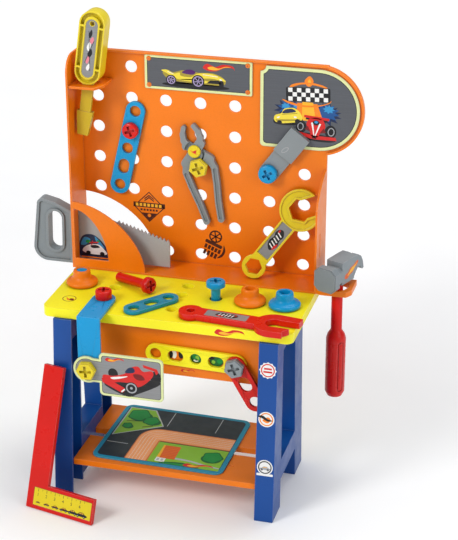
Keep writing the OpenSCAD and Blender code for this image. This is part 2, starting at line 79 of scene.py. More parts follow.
def make_camera():
    """The camera stands in front of the bench, to its right, and looks down on it."""
    data = bpy.data.cameras.new("studio_camera")
    data.sensor_width = SENSOR
    data.lens = LENS
    data.clip_end = 60
    camera = bpy.data.objects.new("studio_camera", data)
    camera.location = CAMERA_PLACE
    camera.rotation_euler = (math.radians(90 - CAMERA_DOWN), 0, math.radians(CAMERA_TURN))
    bpy.context.scene.collection.objects.link(camera)
    bpy.context.scene.camera = camera


def area_light(name, place, size, watts, colour=(1, 1, 1)):
    """A round soft light that faces the middle of the bench."""
    data = bpy.data.lights.new(name, "AREA")
    data.shape = "DISK"
    data.size = size
    data.energy = watts
    data.color = colour
    lamp = bpy.data.objects.new(name, data)
    lamp.location = place
    aim = Vector(BENCH_MIDDLE) - Vector(place)
    lamp.rotation_euler = aim.to_track_quat("-Z", "Y").to_euler()
    bpy.context.scene.collection.objects.link(lamp)


def make_lights():
    """A warm key light at the left, a cool fill at the right, one light above and a pale sky."""
    area_light("key", (-1.6, -2.3, 2.3), 1.2, 60, (1, 0.985, 0.96))
    area_light("fill", (2.6, -1.2, 1.5), 2.0, 22, (0.94, 0.97, 1))
    area_light("top", (0.5, 1.0, 2.8), 1.8, 34)
    world = bpy.data.worlds.new("studio")
    world.use_nodes = True
    world.node_tree.nodes["Background"].inputs["Color"].default_value = (0.93, 0.95, 1, 1)
    world.node_tree.nodes["Background"].inputs["Strength"].default_value = 0.44
    bpy.context.scene.world = world
    bpy.context.scene.view_settings.view_transform = "Standard"


# ---------- materials ----------

class Tree:
    """A material's node tree, with short ways to add and join nodes."""

    def __init__(self, name):
        self.material = bpy.data.materials.new(name)
        self.material.use_nodes = True
        self.tree = self.material.node_tree
        self.shader = self.tree.nodes["Principled BSDF"]
        self.place = self.add("ShaderNodeTexCoord").outputs["Object"]

    def add(self, kind, **settings):
        node = self.tree.nodes.new(kind)
        for key, value in settings.items():
            setattr(node, key, value)
        return node

    def join(self, source, target):
        self.tree.links.new(source, target)

    def noise(self, scale, detail=3.0, stretch=(1, 1, 1)):
        """Noise over the object, from 0 to 1."""
        mapping = self.add("ShaderNodeMapping")
        mapping.inputs["Scale"].default_value = stretch
        self.join(self.place, mapping.inputs["Vector"])
        node = self.add("ShaderNodeTexNoise")
        node.inputs["Scale"].default_value = scale
        node.inputs["Detail"].default_value = detail
        self.join(mapping.outputs["Vector"], node.inputs["Vector"])
        return node.outputs["Fac"]

    def spread(self, value, low, high, start=0.3, end=0.7):
        """Maps start..end of a value to low..high."""
        node = self.add("ShaderNodeMapRange")
        for key, number in (("From Min", start), ("From Max", end), ("To Min", low), ("To Max", high)):
            node.inputs[key].default_value = number
        self.join(value, node.inputs["Value"])
        return node.outputs["Result"]

    def mix(self, fac, a, b):
        """A mix of two colours, each a tuple or another node's colour."""
        node = self.add("ShaderNodeMix", data_type="RGBA")
        self.join(fac, node.inputs["Factor"])
        for socket, colour in ((node.inputs[6], a), (node.inputs[7], b)):
            if isinstance(colour, tuple):
                socket.default_value = (*colour, 1)
            else:
                self.join(colour, socket)
        return node.outputs[2]

    def bump(self, height, strength, distance, under=None):
        node = self.add("ShaderNodeBump")
        node.inputs["Strength"].default_value = strength
        node.inputs["Distance"].default_value = distance
        self.join(height, node.inputs["Height"])
        if under is not None:
            self.join(under, node.inputs["Normal"])
        return node.outputs["Normal"]

    def crevices(self, reach):
        """1 in narrow corners and grooves, 0 on open faces."""
        node = self.add("ShaderNodeAmbientOcclusion", samples=4)
        node.inputs["Distance"].default_value = reach
        return self.spread(node.outputs["AO"], 1, 0, 0.25, 0.85)

    def edges(self, radius):
        """1 along sharp edges and 0 on flat faces, broken up a little by noise."""
        rounded = self.add("ShaderNodeBevel", samples=4)
        rounded.inputs["Radius"].default_value = radius
        true = self.add("ShaderNodeNewGeometry")
        dot = self.add("ShaderNodeVectorMath", operation="DOT_PRODUCT")
        self.join(rounded.outputs["Normal"], dot.inputs[0])
        self.join(true.outputs["Normal"], dot.inputs[1])
        edge = self.spread(dot.outputs["Value"], 1, 0, 0.80, 0.995)
        rough = self.spread(self.noise(90, 4), 0.35, 1, 0.35, 0.6)
        node = self.add("ShaderNodeMath", operation="MULTIPLY")
        self.join(edge, node.inputs[0])
        self.join(rough, node.inputs[1])
        return node.outputs["Value"]


def shade(colour, by):
    """A colour made lighter or darker by a factor, each channel kept in range."""
    return tuple(min(1.0, max(0.0, c * by)) for c in colour)


def faded(colour, by=0.35):
    """A colour moved towards white, like scuffing on plastic, and as a painted highlight on edges."""
    return tuple(c + (1 - c) * by for c in colour)


def moulded_plastic(name, colour, rough=0.34, grain=0.05, wear_and_highlight=0.55):
    """Injection-moulded plastic: fine grain, slow changes of tone, scuffing with a painted highlight on the
    edges, and painted shade in grooves.
    """
    t = Tree(name)
    tone = t.mix(t.spread(t.noise(9, 2), 0, 1), shade(colour, 0.93), shade(colour, 1.05))
    speck = t.mix(t.spread(t.noise(420, 2), 0, 0.25, 0.45, 0.75), tone, shade(colour, 0.82))
    # lighter edges: partly scuffing, partly a painted highlight on the rounded edges
    scuff_and_edge_highlight = t.mix(t.spread(t.edges(SCUFF_AND_HIGHLIGHT), 0, wear_and_highlight, 0, 1), speck, faded(colour))
    # painted shade: the colour darkens in corners and grooves, where less light reaches
    painted_crevice_shade = t.mix(t.spread(t.crevices(SHADE_REACH), 0, 0.6, 0, 1), scuff_and_edge_highlight, shade(colour, 0.42))
    t.join(painted_crevice_shade, t.shader.inputs["Base Color"])
    t.join(t.spread(t.noise(55, 5), rough - 0.05, rough + 0.09, 0.3, 0.75), t.shader.inputs["Roughness"])
    fine = t.bump(t.noise(900, 2), grain, 0.3 * MM)
    wavy = t.bump(t.noise(22, 1), 0.10, 1.0 * MM, fine)
    t.join(wavy, t.shader.inputs["Normal"])
    t.shader.inputs["IOR"].default_value = 1.49
    t.shader.inputs["Specular IOR Level"].default_value = 0.3
    return t.material


def printed_film(name, colour, rough=0.4, dots=0.12):
    """Printed ink on film: faint halftone grain and slight streaks under a satin face."""
    t = Tree(name)
    dotted = t.mix(t.spread(t.noise(1500, 1), 0, dots, 0.4, 0.6), colour, shade(colour, 0.6))
    streaked = t.mix(t.spread(t.noise(30, 3, (1, 1, 6)), 0, 0.3), dotted, faded(shade(colour, 1.1), 0.04))
    t.join(streaked, t.shader.inputs["Base Color"])
    t.join(t.spread(t.noise(60, 3), rough - 0.06, rough + 0.1), t.shader.inputs["Roughness"])
    t.join(t.bump(t.noise(300, 2), 0.05, 0.2 * MM), t.shader.inputs["Normal"])
    t.shader.inputs["Specular IOR Level"].default_value = 0.3
    return t.material


def brushed_print(name, colour):
    """A printed picture of brushed metal with a woven diamond pattern."""
    t = Tree(name)
    split = t.add("ShaderNodeSeparateXYZ")
    t.join(t.place, split.inputs["Vector"])
    waves = []
    for sign in (1, -1):
        slant = t.add("ShaderNodeMath", operation="MULTIPLY_ADD")
        t.join(split.outputs["Z"], slant.inputs[0])
        slant.inputs[1].default_value = sign
        t.join(split.outputs["X"], slant.inputs[2])
        turns = t.add("ShaderNodeMath", operation="MULTIPLY")
        t.join(slant.outputs["Value"], turns.inputs[0])
        turns.inputs[1].default_value = 2 * math.pi / (4.2 * MM)
        sine = t.add("ShaderNodeMath", operation="SINE")
        t.join(turns.outputs["Value"], sine.inputs[0])
        waves.append(sine.outputs["Value"])
    product = t.add("ShaderNodeMath", operation="MULTIPLY")
    t.join(waves[0], product.inputs[0])
    t.join(waves[1], product.inputs[1])
    woven = t.mix(t.spread(product.outputs["Value"], 0, 0.5, -0.4, 0.5), shade(colour, 0.9),
                  shade(colour, 1.12))
    brushed = t.mix(t.spread(t.noise(90, 4, (0.12, 1, 9)), 0, 0.6), woven, shade(colour, 0.74))
    t.join(brushed, t.shader.inputs["Base Color"])
    t.join(t.spread(t.noise(200, 3), 0.33, 0.5), t.shader.inputs["Roughness"])
    t.join(t.bump(t.noise(700, 2), 0.06, 0.2 * MM), t.shader.inputs["Normal"])
    t.shader.inputs["Metallic"].default_value = 0.15
    return t.material


def plated_steel(name):
    """Bright zinc plate with slight stains."""
    t = Tree(name)
    t.join(t.mix(t.spread(t.noise(200, 3), 0, 1), (0.55, 0.55, 0.57), (0.72, 0.72, 0.74)),
           t.shader.inputs["Base Color"])
    t.join(t.spread(t.noise(300, 4), 0.2, 0.38), t.shader.inputs["Roughness"])
    t.join(t.bump(t.noise(500, 2), 0.08, 0.2 * MM), t.shader.inputs["Normal"])
    t.shader.inputs["Metallic"].default_value = 1.0
    return t.material


def studio_floor():
    """Pale floor that glows a little, and more with distance, so that it ends in plain white."""
    t = Tree("studio_floor")
    t.join(t.mix(t.spread(t.noise(1.5, 4), 0, 1), (0.86, 0.86, 0.855), (0.90, 0.90, 0.895)),
           t.shader.inputs["Base Color"])
    t.join(t.spread(t.noise(6, 4), 0.55, 0.7), t.shader.inputs["Roughness"])
    t.join(t.bump(t.noise(250, 3), 0.05, 0.5 * MM), t.shader.inputs["Normal"])
    away = t.add("ShaderNodeVectorMath", operation="LENGTH")
    t.join(t.place, away.inputs[0])
    t.shader.inputs["Emission Color"].default_value = (1, 1, 1, 1)
    t.join(t.spread(away.outputs["Value"], 0.08, 0.52, 0.5, 3.2), t.shader.inputs["Emission Strength"])
    return t.material


def make_floor():
    """A flat sheet under the bench, not attached to any of the object's bodies."""
    mesh = bpy.data.meshes.new("studio_floor")
    corners = [(FLOOR_HALF * a, FLOOR_HALF * b, 0) for a, b in ((-1, -1), (1, -1), (1, 1), (-1, 1))]
    mesh.from_pydata(corners, [], [(0, 1, 2, 3)])
    mesh.materials.append(studio_floor())
    floor = bpy.data.objects.new("studio_floor", mesh)
    bpy.context.scene.collection.objects.link(floor)


PLASTICS = {
    "blue_plastic": moulded_plastic("blue_plastic", (0.004, 0.064, 0.29), 0.33),
    "yellow_plastic": moulded_plastic("yellow_plastic", (0.92, 0.84, 0.012), 0.36),
    "orange_plastic": moulded_plastic("orange_plastic", (0.84, 0.192, 0.003), 0.36),
    "cyan_plastic": moulded_plastic("cyan_plastic", (0.0, 0.29, 0.60), 0.3),
    "teal_plastic": moulded_plastic("teal_plastic", (0.0, 0.25, 0.38), 0.3),
    "red_plastic": moulded_plastic("red_plastic", (0.64, 0.006, 0.002), 0.3),
    "grey_plastic": moulded_plastic("grey_plastic", (0.235, 0.262, 0.275), 0.36),
    "tool_yellow": moulded_plastic("tool_yellow", (0.76, 0.60, 0.012), 0.34),
    "printed_sign": moulded_plastic("sign_plate", (0.60, 0.64, 0.36), 0.42),
    "printed_mat": moulded_plastic("mat_card", (0.03, 0.30, 0.46), 0.45),
    "screw_steel": plated_steel("screw_steel"),
}
OWN_PLASTICS = {
    "saw_blade": moulded_plastic("blade_plastic", (0.37, 0.38, 0.385), 0.33),
    "screwdriver_shank": moulded_plastic("shank_plastic", (0.56, 0.40, 0.010), 0.34),
}

COLOURS = {
    "cream": (0.70, 0.76, 0.36),
    "black": (0.008, 0.008, 0.010),
    "white": (0.82, 0.82, 0.80),
    "steel": (0.36, 0.37, 0.39),
    "dark_red": (0.17, 0.006, 0.006),
    "red": (0.62, 0.012, 0.010),
    "orange": (0.86, 0.22, 0.008),
    "amber": (0.90, 0.44, 0.02),
    "lemon": (0.82, 0.66, 0.05),
    "olive": (0.36, 0.28, 0.03),
    "purple": (0.08, 0.012, 0.13),
    "lilac": (0.40, 0.32, 0.54),
    "blue": (0.006, 0.075, 0.26),
    "sky": (0.03, 0.27, 0.56),
    "navy": (0.008, 0.02, 0.07),
    "asphalt": (0.016, 0.024, 0.030),
    "line": (0.45, 0.48, 0.52),
    "clay": (0.88, 0.36, 0.15),
    "clay_dark": (0.62, 0.15, 0.03),
    "grass": (0.24, 0.50, 0.03),
    "leaf": (0.0, 0.27, 0.04),
    "leaf_dark": (0.0, 0.13, 0.025),
    "roof": (0.72, 0.11, 0.012),
    "brown": (0.060, 0.010, 0.004),
    "teal": (0.008, 0.25, 0.42),
    "pink": (0.75, 0.22, 0.28),
}
inks = {}


def ink(name):
    """The printing ink of that name, made when it is first used."""
    if name not in inks:
        if name == "brushed":
            inks[name] = brushed_print("ink_brushed", (0.095, 0.102, 0.118))
        elif name == "brushed_light":
            inks[name] = brushed_print("ink_brushed_light", (0.27, 0.275, 0.28))
        else:
            inks[name] = printed_film("ink_" + name, COLOURS[name])
    return inks[name]


# ---------- outlines, in millimetres ----------

def circle(x, y, r, steps=40):
    return oval(x, y, r, r, 0, steps)


def oval(x, y, rx, ry, turn=0.0, steps=40):
    c, s = math.cos(math.radians(turn)), math.sin(math.radians(turn))
    angles = [2 * math.pi * i / steps for i in range(steps)]
    ring = [(rx * math.cos(a), ry * math.sin(a)) for a in angles]
    return [(x + c * p - s * q, y + s * p + c * q) for p, q in ring]


def rect(x0, y0, x1, y1):
    return [(x0, y0), (x1, y0), (x1, y1), (x0, y1)]


def rounded(x0, y0, x1, y1, r, steps=8):
    """A rectangle with round corners."""
    points = []
    corners = ((x1 - r, y1 - r, 0), (x0 + r, y1 - r, 90), (x0 + r, y0 + r, 180), (x1 - r, y0 + r, 270))
    for cx, cy, start in corners:
        for i in range(steps + 1):
            a = math.radians(start + 90 * i / steps)
            points.append((cx + r * math.cos(a), cy + r * math.sin(a)))
    return points


def smooth(points, steps=6):
    """A closed curve through the points (Catmull-Rom)."""
    n = len(points)
    out = []
    for i in range(n):
        p0, p1, p2, p3 = (Vector(points[(i + k) % n]) for k in (-1, 0, 1, 2))
        for k in range(steps):
            t = k / steps
            p = 0.5 * (2 * p1 + (p2 - p0) * t + (2 * p0 - 5 * p1 + 4 * p2 - p3) * t * t
                       + (3 * p1 - p0 - 3 * p2 + p3) * t ** 3)
            out.append((p.x, p.y))
    return out


def stroke(a, b, width):
    """A straight line with a width, as a rectangle."""
    a, b = Vector(a), Vector(b)
    side = (b - a).orthogonal().normalized() * width / 2
    return [tuple(a - side), tuple(b - side), tuple(b + side), tuple(a + side)]


def moved(loop, x=0.0, y=0.0, scale=1.0, turn=0.0):
    """The loop scaled, then turned anticlockwise about its origin, then shifted."""
    c, s = math.cos(math.radians(turn)), math.sin(math.radians(turn))
    return [(x + scale * (c * p - s * q), y + scale * (s * p + c * q)) for p, q in loop]


def placer(x, y, scale=1.0, turn=0.0, centre=(0, 0)):
    """A function that takes loops drawn round a centre to their place on a face."""
    def place(loop):
        return moved(moved(loop, -centre[0], -centre[1]), x, y, scale, turn)
    return place


def loops_of(shape):
    """A shape is one loop, or a list of loops: its outline and its holes."""
    return shape if isinstance(shape[0], list) else [shape]


# ---------- flat printed pieces ----------

def slab(name, shapes, matrix, material, low, high):
    """One closed mesh of flat shapes, between two heights over the plane of a matrix."""
    mesh = bpy.data.meshes.new(name)
    build = bmesh.new()
    for shape in shapes:
        loops = loops_of(shape)
        flat = [Vector((x, y, 0)) for loop in loops for x, y in loop]
        triangles = tessellate_polygon([[Vector((x, y, 0)) for x, y in loop] for loop in loops])
        rows = [[build.verts.new(matrix @ Vector((p.x * MM, p.y * MM, height))) for p in flat]
                for height in (low, high)]
        for tri in triangles:
            build.faces.new([rows[1][i] for i in tri])
            build.faces.new([rows[0][i] for i in reversed(tri)])
        start = 0
        for loop in loops:
            for i in range(len(loop)):
                a, b = start + i, start + (i + 1) % len(loop)
                build.faces.new((rows[0][a], rows[0][b], rows[1][b], rows[1][a]))
            start += len(loop)
    bmesh.ops.recalc_face_normals(build, faces=build.faces)
    bmesh.ops.dissolve_limit(build, angle_limit=math.radians(0.5), verts=build.verts, edges=build.edges)
    build.to_mesh(mesh)
    build.free()
    mesh.materials.append(material)
    piece = bpy.data.objects.new(name, mesh)
    bpy.context.scene.collection.objects.link(piece)
    return piece


class Face:
    """A flat face of a CAD node that takes printed shapes, given in mm from the middle of the face."""

    def __init__(self, name, node, facing, along, slot="printed_sign", below=(-1, 500)):
        self.name = name
        self.body = nodes[node]["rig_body"]
        self.slot = slot
        self.matrix = face_frame(nodes[node], Vector(facing), Vector(along), below)
        self.count = 0

    def put(self, colour, shapes, level=1, x=0.0, y=0.0, turn=0.0):
        """Prints shapes of one colour as layer number level; x, y and turn move all of them."""
        shapes = [[moved(loop, x, y, 1, turn) for loop in loops_of(shape)] for shape in shapes]
        self.count += 1
        piece = slab(f"{self.name}_{colour}_{self.count}", shapes, self.matrix, ink(colour),
                     (level - 1) * INK + GAP, level * INK + GAP)
        return self.own(piece)

    def own(self, piece):
        """Fixes a piece to the body of the face's node."""
        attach(piece, self.body)
        return piece


def face_frame(node, facing, along, below):
    """The plane of a node's largest flat face towards facing.

    Its x runs along the face's longest edge that is near to along, its z points out of the face, and
    its origin is the middle of the face. below limits the search to faces that far behind the
    foremost one, in mm.
    """
    mesh = node.data
    areas = {}
    for face in mesh.polygons:
        if face.normal.dot(facing.normalized()) > 0.9:
            key = tuple(round(c, 2) for c in face.normal) + (round(face.center.dot(face.normal), 4),)
            areas[key] = areas.get(key, 0) + face.area
    front = max(key[3] for key in areas)
    near = {key: area for key, area in areas.items()
            if below[0] * MM <= front - key[3] <= below[1] * MM}
    best = max(near or areas, key=areas.get)
    normal, height = Vector(best[:3]).normalized(), best[3]
    flat = [f for f in mesh.polygons
            if f.normal.dot(normal) > 0.999 and abs(f.center.dot(f.normal) - height) < 0.2 * MM]
    uses = {}
    points = []
    for face in flat:
        corners = [mesh.vertices[i].co for i in face.vertices]
        points += corners
        for a, b in zip(corners, corners[1:] + corners[:1]):
            key = frozenset((tuple(round(c, 5) for c in a), tuple(round(c, 5) for c in b)))
            uses.setdefault(key, []).append(b - a)
    rims = [group[0] for group in uses.values() if len(group) == 1]
    lined = [edge for edge in rims
             if edge.length > 0 and abs(edge.normalized().dot(along.normalized())) > 0.96]
    normal = flat[0].normal.copy()
    x_axis = max(lined, key=lambda edge: edge.length) if lined else along
    x_axis = (x_axis - normal * x_axis.dot(normal)).normalized()
    if x_axis.dot(along) < 0:
        x_axis = -x_axis
    y_axis = normal.cross(x_axis)
    middle = [0, 0]
    for k, axis in enumerate((x_axis, y_axis)):
        spans = [p.dot(axis) for p in points]
        middle[k] = (min(spans) + max(spans)) / 2
    origin = x_axis * middle[0] + y_axis * middle[1] + normal * max(p.dot(normal) for p in points)
    rotation = Matrix((x_axis, y_axis, normal)).transposed().to_4x4()
    return Matrix.Translation(origin) @ rotation


def flat_place(face, x, y, z):
    """Moves a face's origin to a point in the shared frame, kept on the face's plane."""
    rotation = face.matrix.to_3x3()
    normal = rotation.col[2]
    old = face.matrix.translation
    point = Vector((x, y, z))
    point += normal * (old - point).dot(normal)
    face.matrix = Matrix.Translation(point) @ rotation.to_4x4()
    return face


# ---------- generic pictures ----------

def side_car(face, x, y, length, colour, level=3):
    """A small closed car from the side, of no particular make."""
    place = placer(x, y, length / 100, centre=(50, 18))
    face.put(colour, [place(smooth([(0, 10), (2, 20), (22, 25), (38, 38), (66, 38), (84, 26), (100, 20),
                                    (99, 8), (50, 5)]))], level)
    face.put("amber", [place([(30, 27), (41, 35), (50, 35), (50, 27)]),
                       place([(54, 27), (54, 35), (64, 35), (74, 27)])], level + 1)
    face.put("black", [place(circle(22, 7, 10)), place(circle(78, 7, 10))], level + 2)
    face.put("steel", [place(circle(22, 7, 4)), place(circle(78, 7, 4))], level + 3)


def open_racer(face, x, y, length, colour, level=3, turn=0.0):
    """An open-wheeled racing car seen from the front quarter, of no particular make."""
    place = placer(x, y, length / 100, turn, (50, 28))
    face.put("black", [place(smooth([(4, 14), (40, -4), (60, 2), (97, 22), (80, 28), (30, 22)]))], level)
    face.put("black", [place(oval(20, 34, 8, 9, 10)), place(oval(90, 33, 9, 11))], level + 1)
    body = smooth([(2, 26), (6, 31), (20, 30), (40, 36), (50, 47), (62, 50), (70, 42), (84, 44), (86, 36),
                   (74, 22), (60, 14), (52, 19), (30, 20), (12, 17)])
    face.put(colour, [place(body)], level + 2)
    face.put("white", [place(smooth([(16, 27), (34, 30), (44, 31), (34, 27), (20, 24)]))], level + 3)
    face.put("navy", [place(smooth([(40, 38), (46, 46), (54, 47), (56, 40), (48, 37)]))], level + 3)
    face.put("dark_red", [place(smooth([(54, 36), (66, 36), (72, 28), (62, 26), (55, 30)]))], level + 3)
    face.put(colour, [place([(0, 24), (5, 27), (38, 10), (36, 3), (31, 2), (2, 17)])], level + 3)
    face.put("white", [place(stroke((32, 3), (38, 8), 2.4))], level + 4)
    face.put(colour, [place([(70, 54), (93, 48), (95, 42), (91, 38), (89, 44), (71, 49)])], level + 3)
    face.put("black", [place(circle(49, 11, 10.5))], level + 4)
    face.put("steel", [[place(circle(49, 11, 9)), place(circle(49, 11, 6.8))]], level + 5)
    face.put("steel", [place(circle(49, 11, 2.2))], level + 5)


def flame(face, x, y, length, level=3, turn=0.0):
    """A plain flame streak, thick at the left and thin at the right."""
    place = placer(x, y, length / 40, turn)
    outer = smooth([(0, 2), (5, 8), (16, 5), (26, 9), (38, 8), (41, 3), (38, 5.5), (28, 5), (18, 0), (8, -1)])
    inner = smooth([(6, 3), (12, 5), (20, 3.4), (29, 6.6), (36, 6.5), (28, 5.4), (18, 1), (9, 0.8)])
    face.put("red", [place(outer)], level)
    face.put("amber", [place(inner)], level + 1)


def chequer(face, x, y, columns, rows, size, colour="white", level=3, turn=0.0):
    """Every second square of a chequered flag, centred on x and y."""
    squares = []
    for i in range(columns):
        for j in range(rows):
            if (i + j) % 2 == 0:
                a, b = (i - columns / 2) * size, (j - rows / 2) * size
                squares.append(moved(rect(a, b, a + size * 0.97, b + size * 0.97), x, y, 1, turn))
    face.put(colour, squares, level)


# ---------- printed signs, mat and stickers ----------

def banner_picture():
    """The wide sign at the top of the board: a brushed ground, a pale edge, an open car and a flame."""
    lo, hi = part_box("banner_sign")
    w, h = (hi.x - lo.x) / MM / 2, (hi.z - lo.z) / MM / 2
    face = Face("banner", "banner_sign", (0, -1, 0), (1, 0, 0))
    face.put("cream", [[rounded(-w + 0.6, -h + 0.6, w - 0.6, h - 0.6, 2),
                        rect(-w + 4, -h + 4, w - 4, h - 4)]])
    face.put("black", [[rect(-w + 4, -h + 4, w - 4, h - 4), rect(-w + 5, -h + 5, w - 5, h - 5)]])
    face.put("brushed", [rect(-w + 5, -h + 5, w - 5, h - 5)])
    hot_rod(face, -6, -4, 106)
    flame(face, 8, 10, 50, 2, -2)


def hot_rod(face, x, y, length):
    """A long low open car with its front at the right, of no particular make."""
    place = placer(x, y, length / 106)
    face.put("black", [place(oval(2, -14, 55, 4.4)), place(rect(-44, -12, 46, -5))], 2)
    face.put("olive", [place(smooth([(-52, 4), (-46, 7), (-34, 6), (-20, 10), (-6, 10), (8, 8), (30, 9),
                                     (46, 3), (51, -5), (44, -10), (20, -10), (-20, -9), (-42, -6)]))], 3)
    face.put("lemon", [place(smooth([(-54, 8), (-44, 9), (-34, 4), (-24, 6), (-22, 1), (-6, 0), (4, 6),
                                     (16, 8), (32, 7), (47, 1), (50, -3), (30, 0), (14, -1), (6, -4),
                                     (-24, -5), (-36, -1), (-46, 4)])),
                       place(smooth([(-26, -5), (-8, -7), (18, -8), (22, -5), (0, -3)]))], 4)
    face.put("purple", [place(smooth([(-20, 6), (-14, 11), (-4, 12), (2, 8), (-4, 4)]))], 5)
    face.put("white", [place(stroke((14, 5.6), (38, 3.6), 0.9)), place(stroke((-44, 6.2), (-34, 3.4), 0.8)),
                       place(oval(43, -1, 2.2, 1.1, -20))], 5)
    face.put("black", [place(circle(-38, -7, 8.4)), place(circle(6, -6, 10.4)), place(oval(44, -8, 4, 6)),
                       place([(20, -8), (44, -8), (40, -2), (26, -3)])], 6)
    wheels = [[place(circle(-38, -7, 6.6)), place(circle(-38, -7, 5.2))],
              [place(circle(6, -6, 8.4)), place(circle(6, -6, 6.8))]]
    for a, b, r in ((-38, -7, 5.6), (6, -6, 7.2)):
        for k in (0.2, 1.25, 2.3):
            dx, dy = r * math.cos(k), r * math.sin(k)
            wheels.append(place(stroke((a - dx, b - dy), (a + dx, b + dy), 1.1)))
    face.put("lilac", wheels, 7)


def round_picture():
    """The D-shaped sign: two small cars in front of a burst of colour, under a chequered flag."""
    face = Face("round_sign_art", "round_sign", (0, -1, 0), (1, 0, 0))
    lo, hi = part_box("round_sign")
    half = (hi.z - lo.z) / MM / 2
    width = (hi.x - lo.x) / MM / 2
    def outline(inset):
        """The sign's outline drawn inwards: round at the right, a corner bitten out at the top left."""
        r = half - inset
        centre = width - half
        left = inset - width
        arc = [(centre + r * math.sin(math.radians(a)), r * math.cos(math.radians(a)))
               for a in range(0, 181, 5)]
        foot = [(left + 5, -r), (left + 1.5, -r + 1.5), (left, -r + 5)]
        reach = 9 + inset
        start = math.asin(inset / reach)
        turns = [math.pi / 2 - start - (math.pi / 2 - 2 * start) * k / 8 for k in range(9)]
        bite = [(reach * math.cos(a) - width, half - reach * math.sin(a)) for a in turns]
        return arc + foot + bite
    face.put("cream", [[outline(0.8), outline(5)]])
    face.put("black", [[outline(5), outline(6)]])
    face.put("brushed", [outline(6)])
    def splash(x, y, r, spikes, turn):
        """A flattened star."""
        return [(x + (r if k % 2 else r * 0.62) * math.cos(k * math.pi / spikes + turn),
                 y + (r if k % 2 else r * 0.62) * 0.72 * math.sin(k * math.pi / spikes + turn))
                for k in range(2 * spikes)]
    face.put("navy", [splash(-34, -2, 24, 11, 0.2), splash(24, -6, 27, 13, 0.5)], 2)
    face.put("blue", [splash(-32, 0, 19, 9, 0.5), splash(26, -3, 22, 11, 0.1)], 3)
    face.put("sky", [splash(-38, 3, 8, 7, 0.5), splash(30, 3, 10, 8, 0.3), splash(-22, 4, 5, 6, 0)], 4)
    face.put("orange", [[(-20, 10), (12, 10), (22, -18), (-22, -18)],
                        smooth([(-5, 38), (-9, 46), (-1, 54), (5, 46), (1, 38)])], 5)
    face.put("amber", [[(-12, 12), (5, 12), (10, -18), (-12, -18)],
                       smooth([(-3, 40), (-4, 45), (-1, 49), (1, 45), (0, 40)])], 6)
    face.put("orange", [smooth([(-36, 26), (-30, 38), (-12, 43), (8, 43), (26, 38), (30, 29), (24, 36),
                                (6, 40), (-12, 40), (-27, 35)]),
                        smooth([(-44, 14), (-34, 8), (-14, 4), (8, 5), (28, 11), (34, 17), (24, 11),
                                (6, 7.5), (-14, 7), (-32, 11)])], 7)
    face.put("black", [moved(rounded(-35, -11.5, 35, 11.5, 3), -3, 24, 1, 2)], 8)
    chequer(face, -3, 24, 9, 3, 7, "white", 9, 2)
    coupe(face, -35, -13, 44, "lemon", 7)
    front_racer(face, 9, -27, 66, "red", 9)


def coupe(face, x, y, length, colour, level):
    """A small closed car from the front quarter, of no particular make."""
    place = placer(x, y, length / 44, 6)
    face.put("black", [place(smooth([(-22, -11), (-20, -2), (0, 0), (22, -4), (20, -13), (0, -15)]))], level)
    face.put(colour, [place(smooth([(-22, -6), (-20, 2), (-10, 5), (-4, 12), (10, 13), (19, 7), (23, -2),
                                    (20, -9), (4, -11), (-14, -11)]))], level + 1)
    face.put("navy", [place(smooth([(-8, 5), (-3, 10.5), (8, 11.5), (14, 7), (4, 5)]))], level + 2)
    face.put("olive", [place([(-20, -5), (20, -5.6), (19, -8), (-18, -8)]),
                       place(stroke((-9, 3), (16, 4), 1.2))], level + 2)
    face.put("white", [place(oval(-15, -1.5, 2.6, 1.2, 20)), place(oval(12, -2, 2.6, 1.2, -12))], level + 3)
    face.put("black", [place(oval(-14, -10, 4, 3.4)), place(oval(15, -9, 4, 4))], level + 3)


def front_racer(face, x, y, length, colour, level):
    """An open-wheeled racing car from the front, of no particular make."""
    place = placer(x, y, length / 66, -5)
    face.put("black", [place(oval(2, -17, 33, 6)), place(oval(-22, -3, 8.5, 10)),
                       place(oval(25, -4, 9, 10.5)), place(rect(-16, 10, 18, 14))], level)
    face.put("steel", [[place(oval(-23, -3, 5, 6.4)), place(oval(-23, -3, 3.6, 5))],
                       [place(oval(26, -4, 5.4, 6.8)), place(oval(26, -4, 4, 5.4))]], level + 1)
    nose = smooth([(-10, 12), (-14, 2), (-8, -8), (-4, -16), (5, -16), (10, -8), (16, 1), (12, 12), (2, 15)])
    wing = [(-31, -15), (-29, -11), (-4, -14), (5, -14), (34, -12), (36, -17), (4, -20), (-5, -20)]
    face.put(colour, [place(nose), place(wing), place(rect(-19, 13, 21, 17))], level + 1)
    face.put("dark_red", [place([(-12, 0), (-16, -6), (-6, -9)]),
                          place([(14, 0), (18, -7), (8, -9)])], level + 2)
    face.put("white", [place([(-7, 6), (-1, -14), (0.5, -14), (-4, 7)]),
                       place([(9, 6), (2.5, -14), (1, -14), (6, 7)])], level + 2)
    face.put("black", [place(oval(1, 7, 5.4, 4)), place(rect(-3, -19, 4, -17))], level + 3)
    face.put("sky", [place(oval(1, 8, 3, 2))], level + 4)


